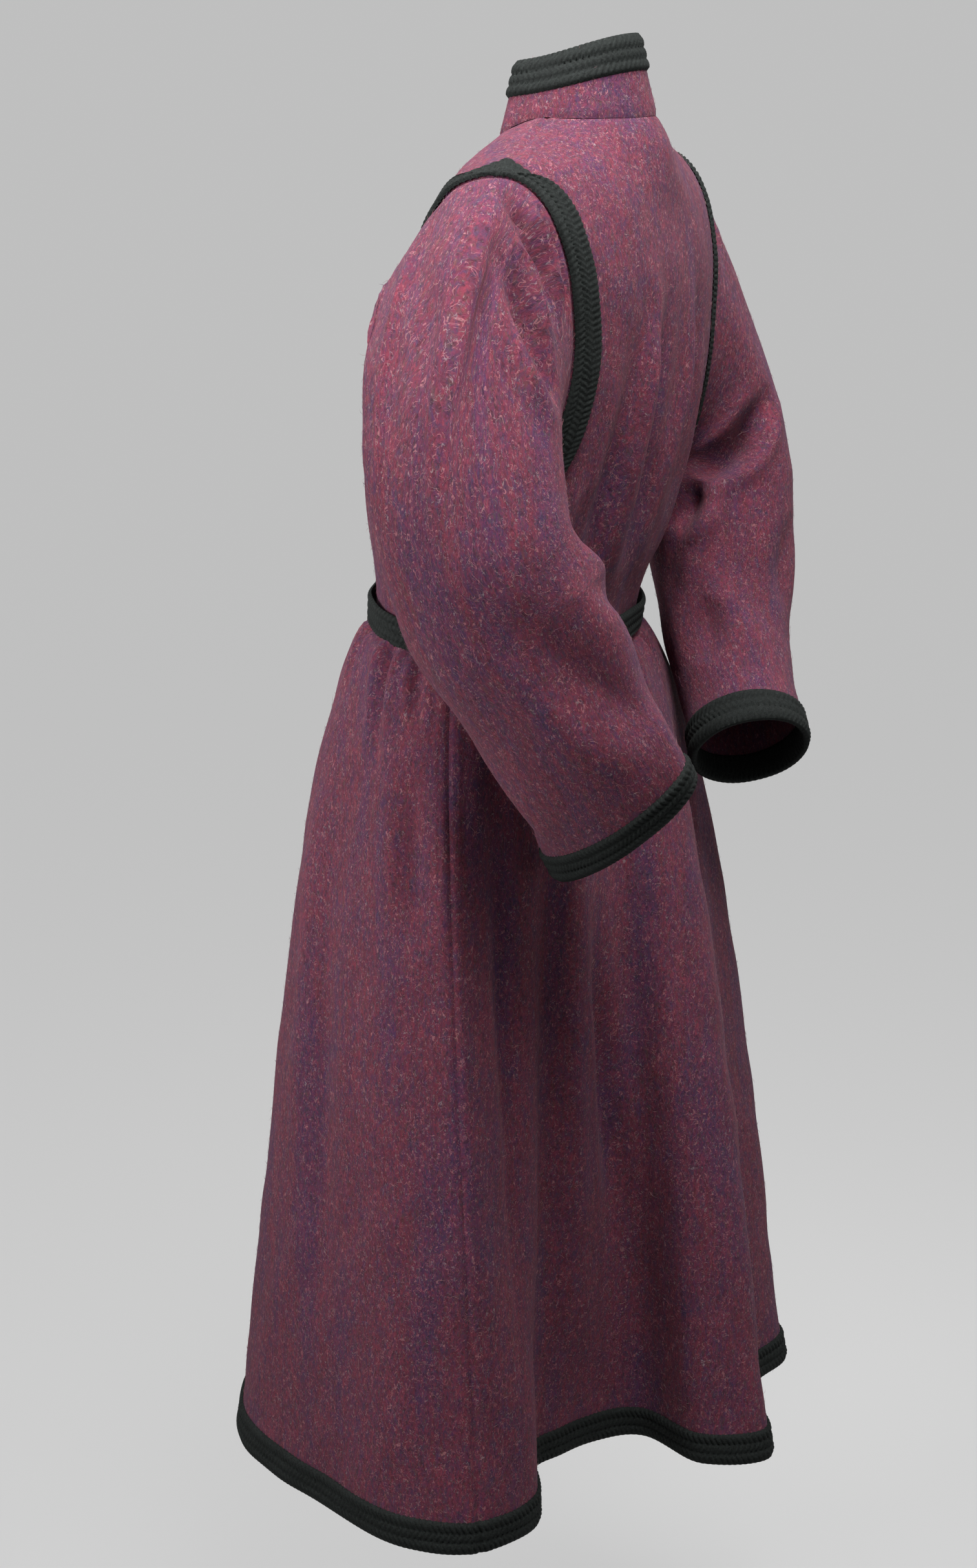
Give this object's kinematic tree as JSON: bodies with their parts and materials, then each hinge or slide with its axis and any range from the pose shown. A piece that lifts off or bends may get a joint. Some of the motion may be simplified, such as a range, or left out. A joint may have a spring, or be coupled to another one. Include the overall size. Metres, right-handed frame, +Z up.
{
  "type": "wool coat",
  "caption": "Long wool coat in its worn shape, with a stand collar, full sleeves, a waist belt, a flared folded skirt and plaited braid along its edges and armholes.",
  "frame": {"origin": "on the coat's centre plane between the shoulders, at the height of the back neck seam, where the wearer's shoulders carry it", "axes": "+Z up along the wearer, -Y towards the wearer's front, +X towards the wearer's left side"},
  "size_m": [0.5317, 0.4706, 1.184],
  "materials": {
    "wool": "brushed melange wool, maroon with navy, red and olive fibres",
    "braid": "plaited charcoal wool braid, matt",
    "belt": "plaited charcoal wool braid, matt"
  },
  "bodies": {
    "root": {"front_left": "wool", "front_right": "wool", "back": "wool", "collar": "wool", "sleeve_left": "wool", "sleeve_right": "wool", "braid_front_left": "braid", "braid_front_right": "braid", "braid_collar": "braid", "braid_hem": "braid", "braid_cuff_left": "braid", "braid_cuff_right": "braid", "braid_armhole_left": "braid", "braid_armhole_right": "braid", "belt": "belt"}
  },
  "joints": []
}
